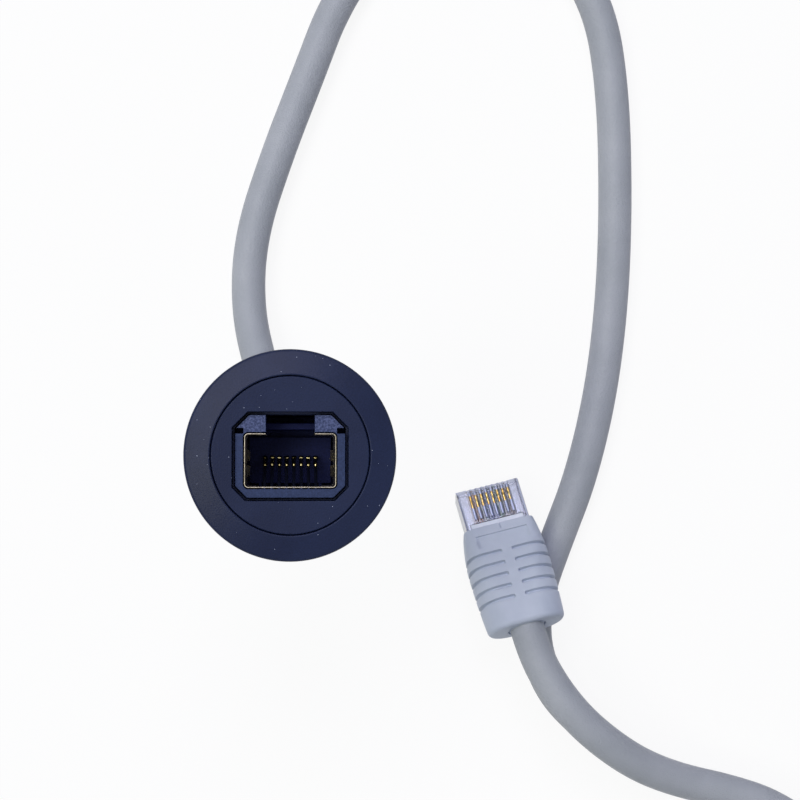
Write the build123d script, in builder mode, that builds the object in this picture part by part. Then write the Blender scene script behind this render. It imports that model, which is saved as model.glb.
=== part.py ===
import os
from math import cos, pi, radians, sin, tan

from build123d import *

os.makedirs("parts", exist_ok=True)

# All lengths are in millimetres. +Z points out of the front, z = 0 is the panel's front face.
# +Y is the latch side of the jack.

# Port of the jack; the wall round it sets the jack's width
port_w = 12.7
port_top = 3.1
port_low = -4.55
port_depth = 14.2
jack_wall = 1.05
jack_w = port_w + 2 * jack_wall

# Panel fitting, as wide as the jack needs
jack_margin = 3.5
barrel_d = jack_w + 2 * jack_margin
flange_reach = 3.4
flange_d = barrel_d + 2 * flange_reach
rim_t = 1.5
crown_rise = 0.9
rim_round = 0.5
gasket_t = 1.0
gasket_inset = 0.8
neck_len = 3.2
thread_depth = 0.5
barrel_len = 21.0
barrel_wall = 1.25
key_w = 3.2
key_h = 1.3
key_len = 1.4
slip = 0.1

# Lock nut behind the panel
nut_af = barrel_d + 2.4
nut_t = 5.0
nut_z = -3.4
nut_chamfer = 1.0

# Round insert that carries the jack
insert_d = barrel_d - 0.5
insert_t = 1.6
insert_recess = 0.35
sleeve_len = 14.5

# Jack housing, an octagon with unequal chamfers
jack_h = 11.15
jack_mid_y = -0.15
jack_top_cut = 1.9
jack_low_cut = 1.6
jack_gap = 0.42
jack_front = 2.0
jack_len = 19.5
latch_w = 6.6
latch_open = 5.6
latch_roof = 3.55
roof_t = 0.85
notch_w = 1.1
notch_h = 0.75
notch_depth = 3.0

# Stamped shell that lines the port
shell_t = 0.3
shell_r = 0.7
shell_len = 12.0
shell_proud = 0.15
finger_w = 1.5
finger_len = 5.6
finger_bow = 0.6
finger_pitch = 2.1
finger_y = -1.1

# Spring contacts
ways = 8
pitch = 1.016
wire_w = 0.46
wire_t = 0.3
contact_run_y = -5.05
contact_turn_z = -1.6
contact_tip_y = -0.45
contact_tip_gap = 1.8
contact_bend_r = 0.55
window_w = 9.0
window_z = -0.6

# Contact carrier and board behind the port
comb_t = 1.6
comb_slot_w = 0.66
comb_slot_h = 1.3
board_t = 1.6
board_inset = 0.25

# Rear cover and strain relief
cover_d = barrel_d - 1.6
cover_wall = 1.0
cover_len = 14.0
spigot_len = 3.4
cover_bevel = 3.2
relief_hole = 8.8
relief_flange_d = 12.0
relief_flange_t = 1.2
relief_root_d = 10.6
relief_tip_d = 8.4
relief_len = 10.0
groove_w = 0.9
groove_depth = 0.75
grooves = 4
core_d = 4.8

# Lead
lead_d = 6.2
floor_z = -78.0
lie_z = floor_z + lead_d / 2

# Plug on the far end, lying nose down with its contacts up
nose_at = (36.1, -6.4, floor_z + 3.75)
plug_tilt = 22.0
plug_turn = -76.0
plug_w = port_w - 2 * shell_t - 0.4
plug_h = 6.6
plug_len = 16.0
plug_edge = 0.5
nose_bevel = 0.9
slot_w = 0.62
slot_depth = 1.15
slot_len = 6.6
blade_w = 0.4
blade_h = 0.75
blade_len = 5.4
blade_start = 0.6
blade_round = 0.6
core_wire_d = 0.95
wire_bay_y = 0.75
wire_start = 0.9
bay_len = 7.6
bar_w = 9.8
bar_t = 1.3
bar_start = 6.95
bar_len = 3.4
tab_w = 6.0
tab_t = 1.0
tab_slope = 11.0
tab_step = 8.2
tail_w = 3.4
tail_len = 6.6

# Moulded boot over the rear of the plug
boot_start = 8.0
boot_end = 27.0
boot_front_w = 13.0
boot_front_h = 8.2
boot_wide = 15.0
boot_high = 9.4
boot_back_w = 14.0
boot_back_h = 9.0
rib_start = 13.0
rib_pitch = 2.15
ribs = 5
rib_gap = 0.85
rib_depth = 1.0
spine_w = 3.0
label_w = 10.4
label_len = 2.0
label_depth = 0.25
label_start = 9.9
slit_w = 0.3
slit_len = 1.1
fit = 0.05


def save(solid, name):
    solid.label = name
    export_step(solid, f"parts/{name}.step")


# Places that follow from the sizes
crown_z = gasket_t + rim_t + crown_rise
insert_face = crown_z - insert_recess
insert_seat = insert_face - insert_t
barrel_back = gasket_t - barrel_len
thread_z = gasket_t - neck_len
bore_r = barrel_d / 2 - barrel_wall
sleeve_r = bore_r - slip
core_r = barrel_d / 2 - thread_depth
jack_back = jack_front - jack_len
jack_top = jack_mid_y + jack_h / 2
jack_low = jack_mid_y - jack_h / 2
port_back = jack_front - port_depth
contact_tip_z = port_back + contact_tip_gap
port_h = port_top - port_low
port_y = (port_top + port_low) / 2
spigot_z = barrel_back + spigot_len
cover_back = barrel_back - cover_len
cover_in_r = sleeve_r - cover_wall
relief_back = cover_back - relief_len


# Bezel, moulded in one with the barrel and its anti-turn key
with BuildPart() as bezel:
    with BuildSketch(Plane.XZ):
        with BuildLine():
            Polyline(
                (bore_r, barrel_back),
                (core_r, barrel_back),
                (core_r, thread_z),
                (barrel_d / 2, thread_z),
                (barrel_d / 2, gasket_t),
                (flange_d / 2, gasket_t),
                (flange_d / 2, gasket_t + rim_t),
                (insert_d / 2 + slip, crown_z),
                (insert_d / 2 + slip, insert_seat),
                (bore_r, insert_seat),
                close=True,
            )
        make_face()
    revolve(axis=Axis.Z)
    rim = bezel.edges().filter_by(GeomType.CIRCLE).group_by(SortBy.RADIUS)[-1].sort_by(Axis.Z)[-1]
    fillet(rim, radius=rim_round)
    back_rim = bezel.edges().filter_by(GeomType.CIRCLE).filter_by_position(
        Axis.Z, barrel_back - 0.01, barrel_back + 0.01
    ).sort_by(SortBy.RADIUS)[-1]
    chamfer(back_rim, length=thread_depth)
    with BuildSketch(Plane.XY.offset(gasket_t)):
        with Locations((0, barrel_d / 2 + key_h / 2 - 0.3)):
            Rectangle(key_w, key_h + 0.6)
    extrude(amount=-(gasket_t + key_len))
save(bezel.part, "bezel_body")

# Sealing gasket under the flange, notched for the key
with BuildPart() as gasket:
    with BuildSketch():
        Circle(flange_d / 2 - gasket_inset)
        Circle(barrel_d / 2 + slip, mode=Mode.SUBTRACT)
        with Locations((0, barrel_d / 2 + key_h / 2)):
            Rectangle(key_w + 2 * slip, key_h + 2 * slip, mode=Mode.SUBTRACT)
    extrude(amount=gasket_t)
save(gasket.part, "panel_gasket")

# Hexagonal lock nut
with BuildPart() as nut:
    with BuildSketch(Plane.XY.offset(nut_z)):
        RegularPolygon(nut_af / 2, 6, major_radius=False)
    extrude(amount=-nut_t)
    with BuildSketch(Plane.XZ):
        with BuildLine():
            corner = nut_af / 2 / cos(radians(30)) + 0.5
            Polyline(
                (0, nut_z),
                (corner - nut_chamfer, nut_z),
                (corner, nut_z - nut_chamfer / 2),
                (corner, nut_z - nut_t + nut_chamfer / 2),
                (corner - nut_chamfer, nut_z - nut_t),
                (0, nut_z - nut_t),
                close=True,
            )
        make_face()
    revolve(axis=Axis.Z, mode=Mode.INTERSECT)
    with BuildSketch(Plane.XY.offset(nut_z)):
        Circle(core_r + slip)
    extrude(amount=-nut_t, mode=Mode.SUBTRACT)
save(nut.part, "lock_nut")


def octagon(w, top, low, top_cut, low_cut):
    h = w / 2
    return [
        (-h, low + low_cut),
        (-h + low_cut, low),
        (h - low_cut, low),
        (h, low + low_cut),
        (h, top - top_cut),
        (h - top_cut, top),
        (-h + top_cut, top),
        (-h, top - top_cut),
    ]


# Round insert: face disc and the sleeve that grips the jack
with BuildPart() as insert:
    with BuildSketch(Plane.XY.offset(insert_seat)):
        Circle(insert_d / 2)
    extrude(amount=insert_t)
    with BuildSketch(Plane.XY.offset(insert_seat)):
        Circle(sleeve_r)
    extrude(amount=-sleeve_len)
    with BuildSketch(Plane.XY.offset(insert_face)):
        with BuildLine():
            Polyline(
                *octagon(
                    jack_w + 2 * jack_gap,
                    jack_top + jack_gap,
                    jack_low - jack_gap,
                    jack_top_cut + jack_gap / 2,
                    jack_low_cut + jack_gap / 2,
                ),
                close=True,
            )
        make_face()
    extrude(amount=-insert_t - 1, mode=Mode.SUBTRACT)
    with BuildSketch(Plane.XY.offset(insert_seat)):
        with BuildLine():
            Polyline(
                *octagon(
                    jack_w + 2 * slip,
                    jack_top + slip,
                    jack_low - slip,
                    jack_top_cut,
                    jack_low_cut,
                ),
                close=True,
            )
        make_face()
    extrude(amount=-sleeve_len, mode=Mode.SUBTRACT)
    disc_rim = insert.edges().filter_by(GeomType.CIRCLE).group_by(Axis.Z)[-1]
    chamfer(disc_rim, length=0.12)
save(insert.part, "face_insert")

# Jack housing with its port, latch slot, notches and contact window
with BuildPart() as housing:
    with BuildSketch(Plane.XY.offset(jack_front)):
        with BuildLine():
            Polyline(*octagon(jack_w, jack_top, jack_low, jack_top_cut, jack_low_cut), close=True)
        make_face()
    extrude(amount=-jack_len)
    with BuildSketch(Plane.XY.offset(jack_front)):
        with Locations((0, port_y)):
            RectangleRounded(port_w, port_h, shell_r)
    extrude(amount=-port_depth, mode=Mode.SUBTRACT)
    with BuildSketch(Plane.XY.offset(jack_front)):
        with Locations((0, (jack_top + port_y) / 2)):
            Rectangle(latch_w, jack_top - port_y)
    extrude(amount=-latch_open, mode=Mode.SUBTRACT)
    with BuildSketch(Plane.XY.offset(jack_front)):
        with Locations((0, (latch_roof + port_y) / 2)):
            Rectangle(latch_w, latch_roof - port_y)
    extrude(amount=-port_depth, mode=Mode.SUBTRACT)
    with BuildSketch(Plane.XY.offset(jack_front)):
        with Locations((0, (jack_top + latch_roof + roof_t) / 2)):
            Rectangle(latch_w, jack_top - latch_roof - roof_t)
    extrude(amount=-port_depth + 2, mode=Mode.SUBTRACT)
    for side in (-1, 1):
        with BuildSketch(Plane.XY.offset(jack_front)):
            with Locations((side * (jack_w / 2 - notch_w / 2), port_top + notch_h / 4)):
                Rectangle(notch_w, notch_h)
        extrude(amount=-notch_depth, mode=Mode.SUBTRACT)
    with BuildSketch(Plane.XY.offset(window_z)):
        with Locations((0, (port_y + jack_low) / 2)):
            Rectangle(window_w, port_y - jack_low)
    extrude(amount=port_back - window_z, mode=Mode.SUBTRACT)
    with BuildSketch(Plane.XY.offset(window_z)):
        with Locations((0, (contact_run_y - wire_t / 2 + jack_low) / 2 + 0.35)):
            Rectangle(window_w, contact_run_y - wire_t / 2 - jack_low + 0.9)
    extrude(amount=jack_back - window_z, mode=Mode.SUBTRACT)
save(housing.part, "jack_housing")

# Stamped shell with a latch gap, a contact window and sprung side fingers
finger_z = jack_front - 0.6
with BuildPart() as shell:
    with BuildSketch(Plane.XY.offset(jack_front + shell_proud)):
        with Locations((0, port_y)):
            RectangleRounded(port_w - 0.02, port_h - 0.02, shell_r)
            RectangleRounded(
                port_w - 2 * shell_t, port_h - 2 * shell_t, shell_r - shell_t, mode=Mode.SUBTRACT
            )
        with Locations((0, port_top)):
            Rectangle(latch_w, 2, mode=Mode.SUBTRACT)
    extrude(amount=-shell_len)
    with BuildSketch(Plane.XY.offset(window_z)):
        with Locations((0, port_low)):
            Rectangle(window_w, 2, mode=Mode.ADD)
    extrude(amount=-shell_len, mode=Mode.SUBTRACT)
    for side in (-1, 1):
        wall = side * (port_w / 2 - shell_t)
        bow = side * (port_w / 2 - shell_t - finger_bow)
        for row in (-0.5, 0.5):
            with BuildSketch(Plane.XZ.offset(-(finger_y + row * finger_pitch - finger_w / 2))):
                with BuildLine():
                    Polyline(
                        (wall + side * 0.1, finger_z),
                        (wall, finger_z),
                        (bow, finger_z - finger_len * 0.45),
                        (wall, finger_z - finger_len),
                        (wall + side * 0.1, finger_z - finger_len),
                        (wall + side * 0.1, finger_z - finger_len + 0.3),
                        (bow + side * 0.22, finger_z - finger_len * 0.45),
                        (wall + side * 0.1, finger_z - 0.3),
                        close=True,
                    )
                make_face()
            extrude(amount=-finger_w)
save(shell.part, "jack_shell")

# Carrier: base strip under the contacts and the comb wall that guides their tips
with BuildPart() as carrier:
    with BuildSketch(Plane.XY.offset(window_z - fit)):
        with Locations((0, (contact_run_y - wire_t / 2 + jack_low) / 2)):
            Rectangle(window_w - 2 * fit, contact_run_y - wire_t / 2 - jack_low)
    extrude(amount=jack_back - window_z + fit)
    with BuildSketch(Plane.XY.offset(port_back + comb_t)):
        with Locations((0, (port_top + port_low) / 2)):
            Rectangle(port_w - 4 * shell_t, port_h - 4 * shell_t)
    extrude(amount=-comb_t)
    post_w = window_w / 2 - fit - ways * pitch / 2
    for side in (-1, 1):
        with BuildSketch(Plane.XY.offset(port_back + comb_t)):
            with Locations((side * (window_w / 2 - fit - post_w / 2), (port_y + jack_low) / 2)):
                Rectangle(post_w, port_y - jack_low)
        extrude(amount=-comb_t)
    with BuildSketch(Plane.XY.offset(port_back + comb_t)):
        with GridLocations(pitch, 0, ways, 1):
            with Locations((0, contact_tip_y - comb_slot_h / 4)):
                Rectangle(comb_slot_w, comb_slot_h)
    extrude(amount=-comb_t * 0.75, mode=Mode.SUBTRACT)
save(carrier.part, "contact_carrier")

# Spring contacts: along the base, round the turn and up to the comb
for way in range(ways):
    across = (way - (ways - 1) / 2) * pitch
    with BuildPart() as spring:
        with BuildLine(Plane.YZ.offset(across)) as wire:
            FilletPolyline(
                (contact_run_y, jack_back),
                (contact_run_y, contact_turn_z),
                (contact_tip_y, contact_tip_z),
                (contact_tip_y - 0.15, port_back + comb_t * 0.45),
                radius=contact_bend_r,
            )
        with BuildSketch(Plane(wire.line @ 0, x_dir=(1, 0, 0), z_dir=wire.line % 0)):
            Rectangle(wire_w, wire_t)
        sweep()
    save(spring.part, f"jack_contact_{way + 1}")

# Terminal board on the back of the jack
with BuildPart() as board:
    with BuildSketch(Plane.XY.offset(jack_back)):
        with BuildLine():
            Polyline(
                *octagon(
                    jack_w - 2 * board_inset,
                    jack_top - board_inset,
                    jack_low + board_inset,
                    jack_top_cut,
                    jack_low_cut,
                ),
                close=True,
            )
        make_face()
    extrude(amount=-board_t)
save(board.part, "terminal_board")

# Rear cover, a cup that plugs into the barrel
with BuildPart() as cover:
    with BuildSketch(Plane.XZ):
        with BuildLine():
            Polyline(
                (cover_in_r, spigot_z),
                (sleeve_r, spigot_z),
                (sleeve_r, barrel_back),
                (cover_d / 2, barrel_back),
                (cover_d / 2, cover_back + cover_bevel),
                (cover_d / 2 - cover_bevel, cover_back),
                (relief_hole / 2, cover_back),
                (relief_hole / 2, cover_back + cover_wall),
                (cover_d / 2 - cover_bevel - 0.6, cover_back + cover_wall),
                (cover_in_r, cover_back + cover_bevel + 0.6),
                close=True,
            )
        make_face()
    revolve(axis=Axis.Z)
    bevel_edges = cover.edges().filter_by(GeomType.CIRCLE).filter_by_position(
        Axis.Z, cover_back - 0.01, cover_back + cover_bevel + 0.01
    ).group_by(SortBy.RADIUS)[-1]
    fillet(bevel_edges, radius=1.0)
save(cover.part, "rear_cover")

# Grooved strain relief, held by its flange inside the cover
step = (relief_len - 2.0) / grooves
profile = [
    (core_d / 2, cover_back + cover_wall + relief_flange_t),
    (relief_flange_d / 2, cover_back + cover_wall + relief_flange_t),
    (relief_flange_d / 2, cover_back + cover_wall),
    (relief_hole / 2 - fit, cover_back + cover_wall),
    (relief_hole / 2 - fit, cover_back),
    (relief_root_d / 2, cover_back),
]
for n in range(grooves):
    at = cover_back - 1.4 - n * step
    r = relief_root_d / 2 - (relief_root_d - relief_tip_d) / 2 * (cover_back - at) / relief_len
    profile += [(r, at), (r - groove_depth, at - 0.1)]
    profile += [(r - groove_depth, at - groove_w), (r - 0.05, at - groove_w - 0.1)]
profile += [(relief_tip_d / 2, relief_back), (core_d / 2, relief_back)]
with BuildPart() as relief:
    with BuildSketch(Plane.XZ):
        with BuildLine():
            Polyline(*profile, close=True)
        make_face()
    revolve(axis=Axis.Z)
save(relief.part, "strain_relief")

# Frame of the plug: its own z runs from the nose to the boot's end, its y is the contact side
turn = radians(plug_turn)
tilt = radians(plug_tilt)
plug_axis = Vector(cos(tilt) * cos(turn), cos(tilt) * sin(turn), sin(tilt))
plug_frame = Plane(nose_at, x_dir=(-sin(turn), cos(turn), 0), z_dir=plug_axis)
lay_plug = plug_frame.location

# Clear plug body with comb slots, wire bay, bar window and sprung latch
face_y = plug_h / 2
with BuildPart() as plug:
    with BuildSketch():
        Rectangle(plug_w, plug_h)
    extrude(amount=plug_len)
    chamfer(plug.edges().filter_by(Axis.X).group_by(Axis.Z)[0].sort_by(Axis.Y)[-1], nose_bevel)
    fillet(plug.edges().filter_by(Axis.Z), radius=plug_edge)
    with BuildSketch(Plane.XY):
        with GridLocations(pitch, 0, ways, 1):
            with Locations((0, face_y - slot_depth / 2)):
                Rectangle(slot_w, slot_depth)
    extrude(amount=slot_len, mode=Mode.SUBTRACT)
    with BuildSketch(Plane.XY.offset(wire_start - fit)):
        with Locations((0, wire_bay_y)):
            Rectangle((ways - 1) * pitch + core_wire_d + 2 * fit, core_wire_d + 2 * fit)
    extrude(amount=plug_len - wire_start + fit, mode=Mode.SUBTRACT)
    with BuildSketch(Plane.XY.offset(wire_start + bay_len)):
        with Locations((0, -0.3)):
            Rectangle(plug_w - 2.4, plug_h - 2.6)
    extrude(amount=plug_len, mode=Mode.SUBTRACT)
    with BuildSketch(Plane.XY.offset(bar_start)):
        with Locations((0, face_y - bar_t / 2)):
            Rectangle(bar_w + 2 * fit, bar_t)
    extrude(amount=bar_len, mode=Mode.SUBTRACT)
    root = Plane((0, -face_y - 0.1, 0.5), x_dir=(1, 0, 0), z_dir=(0, -sin(radians(tab_slope)), cos(radians(tab_slope))))
    with BuildSketch(root):
        with Locations((0, -tab_t / 2 + 0.2)):
            Rectangle(tab_w, tab_t)
    extrude(amount=tab_step)
    with BuildSketch(root.offset(tab_step)):
        with Locations((0, -tab_t / 2 + 0.2)):
            Rectangle(tail_w, tab_t)
    extrude(amount=tail_len)
save(plug.part.moved(lay_plug), "plug_body")

# Contact blades and the eight cores of the lead
blade_y = face_y - slot_depth
for way in range(ways):
    across = (way - (ways - 1) / 2) * pitch
    with BuildPart() as blade:
        with BuildSketch(Plane.YZ.offset(across - blade_w / 2)):
            with Locations((blade_y + blade_h / 2, blade_start + blade_len / 2)):
                Rectangle(blade_h, blade_len)
        extrude(amount=blade_w)
        nose_edge = blade.edges().filter_by(Axis.X).group_by(Axis.Z)[0].sort_by(Axis.Y)[-1]
        fillet(nose_edge, radius=blade_round)
    save(blade.part.moved(lay_plug), f"plug_contact_{way + 1}")
    with BuildPart() as core:
        with BuildSketch(Plane.XY.offset(wire_start)):
            with Locations((across, wire_bay_y)):
                Circle(core_wire_d / 2)
        extrude(amount=plug_len - wire_start)
    save(core.part.moved(lay_plug), f"plug_core_{way + 1}")

# White bar that clamps the cores
with BuildPart() as bar:
    with BuildSketch(Plane.XY.offset(bar_start)):
        with Locations((0, face_y - bar_t / 2 - 0.1)):
            Rectangle(bar_w, bar_t - 0.2)
    extrude(amount=bar_len - fit)
save(bar.part.moved(lay_plug), "plug_bar")


def boot_size(z):
    belly = (boot_start + boot_end) / 2 - 1
    if z < belly:
        t = (z - boot_start) / (belly - boot_start)
        t = t * (2 - t)
        return boot_front_w + (boot_wide - boot_front_w) * t, boot_front_h + (boot_high - boot_front_h) * t
    t = ((z - belly) / (boot_end - belly)) ** 2
    return boot_wide - (boot_wide - boot_back_w) * t, boot_high - (boot_high - boot_back_h) * t


# Ribbed boot, a loft cut by grooves that leave a spine above and below
with BuildPart() as boot:
    for share, round_share in ((0, 0.22), (0.25, 0.34), (0.5, 0.44), (0.78, 0.49), (1, 0.49)):
        z = boot_start + share * (boot_end - boot_start)
        w, h = boot_size(z)
        with BuildSketch(Plane.XY.offset(z)):
            RectangleRounded(w, h, h * round_share)
    loft()
    fillet(boot.edges().group_by(Axis.Z)[-1], radius=0.9)
    for n in range(ribs):
        z = rib_start + n * rib_pitch
        w, h = boot_size(z)
        with BuildSketch(Plane.XY.offset(z)):
            Rectangle(w + 4, h + 4)
            RectangleRounded(
                w - 2 * rib_depth, h - 2 * rib_depth, h / 2 - rib_depth - 0.3, mode=Mode.SUBTRACT
            )
            Rectangle(spine_w, h + 4, mode=Mode.SUBTRACT)
        extrude(amount=rib_gap, mode=Mode.SUBTRACT)
    with BuildSketch(Plane.XY.offset(boot_start)):
        Rectangle(plug_w, plug_h)
    extrude(amount=plug_len - boot_start, mode=Mode.SUBTRACT)
    with BuildSketch(Plane.XY.offset(boot_start)):
        with Locations((0, -plug_h / 2)):
            Rectangle(tab_w + 1, 4, mode=Mode.ADD)
    extrude(amount=1.6, mode=Mode.SUBTRACT)
    with BuildSketch(Plane.XY.offset(plug_len)):
        Circle(core_d / 2)
    extrude(amount=boot_end - plug_len, mode=Mode.SUBTRACT)
    label_top = boot_size(label_start)[1] / 2 - label_depth
    with BuildSketch(Plane.XZ.offset(-label_top)):
        with Locations((0, label_start + label_len / 2)):
            Rectangle(label_w, label_len)
    extrude(amount=-2, mode=Mode.SUBTRACT)
    with BuildSketch(Plane.XZ.offset(-plug_h / 2)):
        with Locations((0, boot_start + slit_len / 2)):
            Rectangle(slit_w, slit_len)
    extrude(amount=-4, mode=Mode.SUBTRACT)
save(boot.part.moved(lay_plug), "plug_boot")

# Route of the lead: out of the relief, down to the surface, round the socket and under the boot,
# then a loop that comes back on top of itself to the boot
over_z = lie_z + lead_d + 0.1
climb = over_z - lie_z
boot_exit = Vector(*nose_at) + plug_axis * boot_end
hump_z = boot_exit.Z + lead_d / 2
route = [
    (0, 0, relief_back),
    (0, 0, -51.5),
    (-2.0, 5.2, -61.4),
    (-5.0, 14.4, -69.8),
    (-8.0, 26.8, lie_z),
    (-7.4, 40.5, lie_z),
    (-2.4, 56.0, lie_z),
    (3.2, 70.6, lie_z),
    (8.0, 83.6, lie_z),
    (15.4, 94.6, lie_z),
    (26.6, 101.6, lie_z),
    (39.8, 101.6, lie_z),
    (51.0, 95.0, lie_z),
    (58.0, 84.0, lie_z),
    (60.4, 68.0, lie_z),
    (60.8, 47.0, lie_z),
    (60.0, 28.5, lie_z),
    (57.8, 11.5, lie_z),
    (54.0, -4.0, lie_z),
    (49.4, -15.6, lie_z),
    (45.7, -25.6, lie_z),
    (45.0, -33.4, lie_z),
    (46.5, -39.5, lie_z),
    (49.2, -44.6, lie_z),
    (53.4, -48.9, lie_z),
    (59.2, -53.9, lie_z),
    (65.5, -57.9, lie_z),
    (72.8, -60.5, lie_z),
    (81.1, -62.4, lie_z),
    (89.5, -65.1, lie_z),
    (96.8, -70.0, lie_z),
    (102.2, -77.0, lie_z),
    (105.2, -85.2, lie_z),
    (105.9, -95.1, lie_z),
    (103.2, -106.8, lie_z),
    (95.0, -119.3, lie_z),
    (82.6, -127.8, lie_z),
    (68.6, -133.1, lie_z),
    (54.4, -138.0, lie_z),
    (39.9, -141.9, lie_z),
    (24.9, -140.9, lie_z),
    (12.6, -132.5, lie_z),
    (6.9, -118.6, lie_z),
    (10.3, -104.0, lie_z),
    (21.6, -94.0, lie_z),
    (36.4, -92.1, lie_z),
    (50.0, -98.5, lie_z),
    (59.3, -110.3, lie_z),
    (72.9, -116.5, lie_z + 0.08 * climb),
    (87.8, -114.5, lie_z + 0.41 * climb),
    (98.9, -104.5, lie_z + 0.83 * climb),
    (103.1, -93.3, over_z),
    (102.9, -83.4, over_z),
    (99.9, -75.3, over_z),
    (94.6, -68.5, over_z),
    (87.5, -63.7, over_z),
    (79.3, -61.0, over_z),
    (71.0, -59.0, over_z + 0.12 * (hump_z - over_z)),
    (63.2, -55.8, over_z + 0.5 * (hump_z - over_z)),
    (56.6, -51.5, over_z + 0.82 * (hump_z - over_z)),
    (50.8, -46.5, hump_z),
    (46.3, -40.9, hump_z),
    tuple(boot_exit + plug_axis * 5.0),
    tuple(boot_exit),
]
corners = [Vector(*p) for p in route]
radii = []
for before, at, after in zip(corners, corners[1:], corners[2:]):
    bend = radians((at - before).get_angle(after - at))
    radii.append(0.45 * min((at - before).length, (after - at).length) / tan(bend / 2))
print("lead radii", [round(r, 1) for r in radii])

with BuildPart() as lead:
    with BuildLine() as line:
        FilletPolyline(*corners, radius=radii)
    with BuildSketch(Plane(line.line @ 0, z_dir=line.line % 0)):
        Circle(lead_d / 2)
    sweep()
path_len = sum(edge.length for edge in line.edges())
swept = lead.part.volume / (pi * lead_d**2 / 4 * path_len)
print("lead length", round(path_len, 1), "volume over section by length", round(swept, 4))
save(lead.part, "lead")
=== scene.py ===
from math import cos, hypot, pi, radians, sin

import bmesh
import bpy
from mathutils import Matrix, Vector


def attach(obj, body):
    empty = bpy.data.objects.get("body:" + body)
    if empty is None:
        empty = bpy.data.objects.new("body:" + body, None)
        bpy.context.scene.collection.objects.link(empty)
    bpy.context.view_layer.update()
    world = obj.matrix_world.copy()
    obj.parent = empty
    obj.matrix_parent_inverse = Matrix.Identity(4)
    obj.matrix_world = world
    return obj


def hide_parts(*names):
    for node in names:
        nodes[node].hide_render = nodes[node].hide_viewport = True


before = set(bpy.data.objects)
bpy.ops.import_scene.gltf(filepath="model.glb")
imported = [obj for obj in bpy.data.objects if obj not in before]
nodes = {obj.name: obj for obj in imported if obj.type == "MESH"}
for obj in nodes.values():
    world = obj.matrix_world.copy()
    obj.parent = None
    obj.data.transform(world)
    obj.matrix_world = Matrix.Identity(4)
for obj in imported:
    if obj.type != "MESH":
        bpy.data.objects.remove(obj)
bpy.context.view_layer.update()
print("frame loaded:", len(nodes), "solids")


# sRGB hex to the linear colour that the sockets want
def linear(hexText):
    parts = [int(hexText[n:n + 2], 16) / 255 for n in (1, 3, 5)]
    return [p / 12.92 if p <= 0.04045 else ((p + 0.055) / 1.055) ** 2.4 for p in parts] + [1.0]


# an input given as a socket is linked, any other is set
def addNode(tree, kind, inputs=None, **settings):
    node = tree.nodes.new(kind)
    for name, value in settings.items():
        setattr(node, name, value)
    for name, value in (inputs or {}).items():
        if isinstance(value, bpy.types.NodeSocket):
            tree.links.new(value, node.inputs[name])
        else:
            node.inputs[name].default_value = value
    return node


def calc(tree, operation, *sides):
    return addNode(tree, "ShaderNodeMath", dict(enumerate(sides)), operation=operation).outputs[0]


def remap(tree, value, before=(0.0, 1.0), after=(0.0, 1.0)):
    node = addNode(tree, "ShaderNodeMapRange", {
        "Value": value, "From Min": before[0], "From Max": before[1], "To Min": after[0], "To Max": after[1]})
    return node.outputs[0]


def mixColour(tree, factor, a, b, **settings):
    node = addNode(tree, "ShaderNodeMix", {"Factor": factor, "A": a, "B": b}, data_type="RGBA", **settings)
    return node.outputs["Result"]


def ramp(tree, factor, low, high, hexLow, hexHigh):
    node = addNode(tree, "ShaderNodeValToRGB", {"Fac": factor})
    for stop, position, hexText in zip(node.color_ramp.elements, (low, high), (hexLow, hexHigh)):
        stop.position = position
        stop.color = linear(hexText)
    return node.outputs["Color"]


# blobs sizeMm across on the real object
def noise(tree, place, sizeMm, detail=2.0, roughness=0.5):
    node = addNode(tree, "ShaderNodeTexNoise", {
        "Vector": place, "Scale": 1000 / sizeMm, "Detail": detail, "Roughness": roughness})
    return node.outputs["Fac"]


def startMaterial(name, **values):
    material = bpy.data.materials.new(name)
    material.use_nodes = True
    tree = material.node_tree
    surface = tree.nodes["Principled BSDF"]
    for socket, value in values.items():
        surface.inputs[socket.replace("_", " ")].default_value = value
    place = addNode(tree, "ShaderNodeTexCoord").outputs["Object"]
    return material, tree, surface, place


def setBump(tree, surface, height, depthMm, strength=1.0):
    bump = addNode(tree, "ShaderNodeBump", {"Strength": strength, "Distance": depthMm / 1000, "Height": height})
    tree.links.new(bump.outputs["Normal"], surface.inputs["Normal"])


def paint(material, *names):
    for name in names:
        nodes[name].data.materials.clear()
        nodes[name].data.materials.append(material)


def addObject(name, data):
    thing = bpy.data.objects.new(name, data)
    bpy.context.scene.collection.objects.link(thing)
    return thing


# a smooth-shaded piece from an edited form
def pieceFrom(form, name, materials):
    mesh = bpy.data.meshes.new(name)
    form.to_mesh(mesh)
    form.free()
    for material in materials:
        mesh.materials.append(material)
    for face in mesh.polygons:
        face.use_smooth = True
    return addObject(name, mesh)


def startTree(name, inputs):
    tree = bpy.data.node_groups.new(name, "GeometryNodeTree")
    for label, kind in inputs.items():
        tree.interface.new_socket(label, in_out="INPUT", socket_type="NodeSocket" + kind)
    tree.interface.new_socket("Geometry", in_out="OUTPUT", socket_type="NodeSocketGeometry")
    return tree, addNode(tree, "NodeGroupInput").outputs


def endTree(tree, geometry, finish):
    real = addNode(tree, "GeometryNodeRealizeInstances", {"Geometry": geometry})
    painted = addNode(tree, "GeometryNodeSetMaterial", {"Geometry": real.outputs[0], "Material": finish})
    addNode(tree, "NodeGroupOutput", {"Geometry": painted.outputs[0]})
    return tree


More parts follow.
